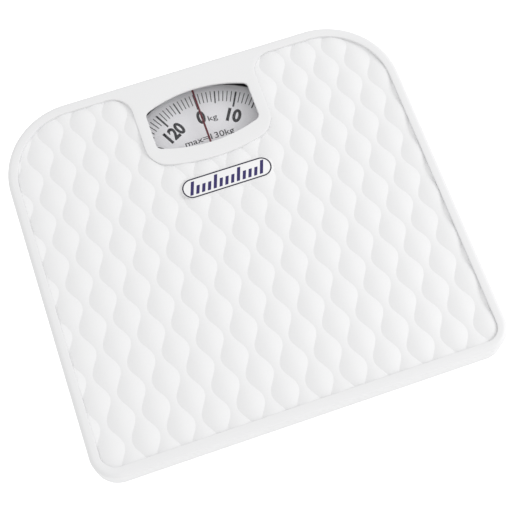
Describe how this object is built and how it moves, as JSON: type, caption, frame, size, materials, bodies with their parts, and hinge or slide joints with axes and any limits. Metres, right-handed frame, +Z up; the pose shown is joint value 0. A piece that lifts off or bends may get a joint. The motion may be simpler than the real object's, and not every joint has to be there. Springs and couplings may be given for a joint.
{
  "type": "mechanical dial platform scale",
  "caption": "Low white platform scale with an embossed mat, a curved window at the far edge over a printed rotating dial, levers and a main spring inside.",
  "frame": {"origin": "centre of the footprint on the surface the feet stand on", "axes": "+X to the user's right, +Y away from the user towards the dial, +Z up"},
  "size_m": [0.28, 0.26, 0.042],
  "materials": {
    "white_cover": "satin moulded ABS",
    "mat_vinyl": "embossed matte vinyl",
    "badge_plate": "smooth plate with a printed dark outline",
    "clear_lens": "clear moulded plastic",
    "pointer_red": "dark red",
    "tray_paint": "white powder coat on pressed steel",
    "foot_rubber": "moulded rubber",
    "lever_steel": "zinc plated strip",
    "hard_steel": "ground and hardened",
    "spring_wire": "drawn wire",
    "bracket_steel": "pressed zinc plated sheet",
    "screw_steel": "bright zinc",
    "gear_brass": "machined",
    "dial_face": "printed pale dial",
    "knob_steel": "knurled, zinc plated",
    "rack_plastic": "moulded acetal"
  },
  "bodies": {
    "base": {"base_tray": "tray_paint", "foot_near_left": "foot_rubber", "foot_near_right": "foot_rubber", "foot_far_left": "foot_rubber", "foot_far_right": "foot_rubber", "long_left_fulcrum_bracket": "bracket_steel", "long_right_fulcrum_bracket": "bracket_steel", "short_left_fulcrum_bracket": "bracket_steel", "short_right_fulcrum_bracket": "bracket_steel", "bracket_rivets": "screw_steel", "spring_bracket": "bracket_steel", "hanger_pivot_pin": "hard_steel", "crank_bracket": "bracket_steel", "crank_pivot_pin": "hard_steel", "rack_guide": "bracket_steel", "return_spring_anchor": "bracket_steel", "return_spring": "spring_wire", "dial_bridge": "bracket_steel", "spindle_bushing": "gear_brass", "spindle_step_bearing": "gear_brass", "bracket_screws": "screw_steel", "retaining_spring_tabs": "bracket_steel"},
    "platform": {"platform_shell": "white_cover", "mat": "mat_vinyl", "badge": "badge_plate", "window_lens": "clear_lens", "pointer": "pointer_red", "platform_saddles": "hard_steel", "retaining_springs": "spring_wire"},
    "calibrating_plate": {"calibrating_plate": "bracket_steel", "main_spring": "spring_wire"},
    "bell_crank": {"bell_crank": "bracket_steel", "crank_pin": "hard_steel"},
    "rack": {"rack": "rack_plastic"},
    "dial": {"dial_disc": "dial_face", "dial_hub": "rack_plastic", "dial_nut": "gear_brass", "dial_spindle": "hard_steel", "pinion": "gear_brass"},
    "zero_knob": {"zero_knob": "knob_steel"},
    "zero_screw": {"zero_screw": "screw_steel"},
    "spring_hanger": {"spring_hanger": "bracket_steel"},
    "long_left_lever": {"long_left_lever": "lever_steel", "long_left_lever_knives": "hard_steel"},
    "short_left_lever": {"short_left_lever": "lever_steel", "short_left_lever_knives": "hard_steel"},
    "long_right_lever": {"long_right_lever": "lever_steel", "long_right_lever_knives": "hard_steel"},
    "short_right_lever": {"short_right_lever": "lever_steel", "short_right_lever_knives": "hard_steel"}
  },
  "joints": [
    {"name": "dial_turn", "type": "hinge", "parent": "base", "child": "dial", "pos_m": [0, 0.05, 0], "axis": [0, 0, 1], "range_deg": [0, 360], "stiffness_Nm_per_rad": 0.0151, "springref_deg": -5.16},
    {"name": "platform_travel", "type": "slide", "parent": "base", "child": "platform", "axis": [0, 0, -1], "range_m": [0, 0.00041422], "deforming": ["retaining_springs"]},
    {"name": "long_left_lever_rock", "type": "hinge", "parent": "base", "child": "long_left_lever", "pos_m": [-0.112, -0.104, 0.015], "axis": [-0.8944, 0.4472, 0], "range_deg": [0, 1.18]},
    {"name": "short_left_lever_rock", "type": "hinge", "parent": "base", "child": "short_left_lever", "pos_m": [-0.1, 0.096, 0.015], "axis": [0.9348, 0.3552, 0], "range_deg": [0, 1.23]},
    {"name": "long_right_lever_rock", "type": "hinge", "parent": "base", "child": "long_right_lever", "pos_m": [0.112, -0.104, 0.015], "axis": [-0.8944, -0.4472, 0], "range_deg": [0, 1.18]},
    {"name": "short_right_lever_rock", "type": "hinge", "parent": "base", "child": "short_right_lever", "pos_m": [0.1, 0.096, 0.015], "axis": [0.9348, -0.3552, 0], "range_deg": [0, 1.23]},
    {"name": "calibrating_plate_travel", "type": "slide", "parent": "base", "child": "calibrating_plate", "axis": [0, 0, -1], "range_m": [0, 0.0046], "deforming": ["main_spring"]},
    {"name": "bell_crank_swing", "type": "hinge", "parent": "base", "child": "bell_crank", "pos_m": [0.00675, 0.08, 0.0119], "axis": [-1, 0, 0], "range_deg": [0, 59.63]},
    {"name": "rack_travel", "type": "slide", "parent": "base", "child": "rack", "axis": [0, 1, 0], "range_m": [0, 0.01509], "deforming": ["return_spring"]},
    {"name": "zero_knob_turn", "type": "hinge", "parent": "base", "child": "zero_knob", "pos_m": [0, 0.118, 0], "axis": [0, 0, 1], "range_deg": [-360, 360]},
    {"name": "zero_screw_lift", "type": "slide", "parent": "base", "child": "zero_screw", "axis": [0, 0, 1], "range_m": [-0.0006, 0.0006]},
    {"name": "spring_hanger_tilt", "type": "hinge", "parent": "base", "child": "spring_hanger", "pos_m": [0, 0.0945, 0.0259], "axis": [1, 0, 0], "range_deg": [-1.46, 1.46]}
  ],
  "couplings": [
    {"joint": "platform_travel", "follows": "dial_turn", "m_per_rad": 0.00006589},
    {"joint": "long_left_lever_rock", "follows": "dial_turn", "ratio": 0.0032741},
    {"joint": "short_left_lever_rock", "follows": "dial_turn", "ratio": 0.0034218},
    {"joint": "long_right_lever_rock", "follows": "dial_turn", "ratio": 0.0032741},
    {"joint": "short_right_lever_rock", "follows": "dial_turn", "ratio": 0.0034218},
    {"joint": "calibrating_plate_travel", "follows": "dial_turn", "m_per_rad": 0.00073211},
    {"joint": "bell_crank_swing", "follows": "dial_turn", "ratio": 0.16556},
    {"joint": "rack_travel", "follows": "dial_turn", "m_per_rad": 0.0024},
    {"joint": "zero_screw_lift", "follows": "zero_knob_turn", "m_per_rad": 0.000095493},
    {"joint": "spring_hanger_tilt", "follows": "zero_knob_turn", "ratio": 0.0040635}
  ]
}
